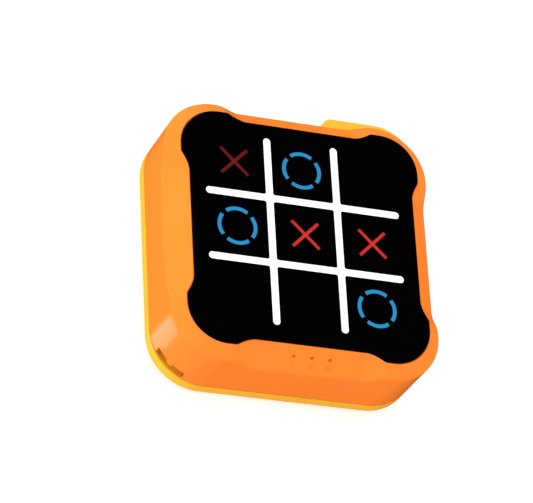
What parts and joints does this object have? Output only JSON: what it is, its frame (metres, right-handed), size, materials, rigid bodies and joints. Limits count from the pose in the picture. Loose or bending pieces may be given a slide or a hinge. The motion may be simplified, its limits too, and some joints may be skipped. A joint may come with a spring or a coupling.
{
  "type": "electronic tic-tac-toe game",
  "caption": "Handheld electronic tic-tac-toe game: black touch board in an orange housing with a yellow back cover, power button, lanyard slot and battery door.",
  "frame": {"origin": "middle of the flat back face", "axes": "+X to the right along the board, +Y up the board towards the power button, +Z out of the touch panel"},
  "size_m": [0.08, 0.0837, 0.026],
  "materials": {
    "orange_shell": "satin moulded",
    "yellow_shell": "satin moulded",
    "black_panel": "polished",
    "clear_plastic": "clear",
    "white_plastic": "matt",
    "circuit_board": "solder mask",
    "black_component": "matt",
    "speaker_paper": "paper",
    "magnet_steel": "plated",
    "spring_steel": "nickel plated",
    "screw_steel": "zinc plated",
    "battery_can": "satin",
    "red_lead": "insulation",
    "black_lead": "insulation"
  },
  "bodies": {
    "case": {"front_housing": "orange_shell", "back_cover": "yellow_shell", "front_panel": "black_panel", "touch_film": "clear_plastic", "diffuser_film": "white_plastic", "reflector_frame": "white_plastic", "main_board": "circuit_board", "controller_chip": "black_component", "capacitor": "black_component", "indicator_light_pipe": "clear_plastic", "speaker_frame": "black_component", "speaker_cone": "speaker_paper", "speaker_magnet": "magnet_steel", "tact_switch": "spring_steel", "case_screw_1": "screw_steel", "case_screw_2": "screw_steel", "case_screw_3": "screw_steel", "case_screw_4": "screw_steel", "board_screw_1": "screw_steel", "board_screw_2": "screw_steel", "board_screw_3": "screw_steel", "board_screw_4": "screw_steel", "battery_1": "battery_can", "battery_2": "battery_can", "battery_3": "battery_can", "contact_positive": "spring_steel", "contact_negative": "spring_steel", "contact_bridge_right": "spring_steel", "contact_bridge_left": "spring_steel", "battery_lead_red": "red_lead", "battery_lead_black": "black_lead", "speaker_lead_red": "red_lead", "speaker_lead_black": "black_lead"},
    "button": {"power_button": "yellow_shell", "switch_plunger": "black_component"},
    "door": {"battery_door": "yellow_shell"},
    "door_screw": {"battery_door_screw": "screw_steel"}
  },
  "joints": [
    {"name": "power_button_press", "type": "slide", "parent": "case", "child": "button", "axis": [0, -1, 0], "range_m": [0, 0.0008], "stiffness_N_per_m": 900, "springref_m": -0.0004},
    {"name": "battery_door_hinge", "type": "hinge", "parent": "case", "child": "door", "pos_m": [-0.02645, 0, 0], "axis": [0, 1, 0], "range_deg": [0, 80]},
    {"name": "battery_door_screw_draw", "type": "slide", "parent": "door", "child": "door_screw", "axis": [0, 0, -1], "range_m": [0, 0.005]}
  ]
}
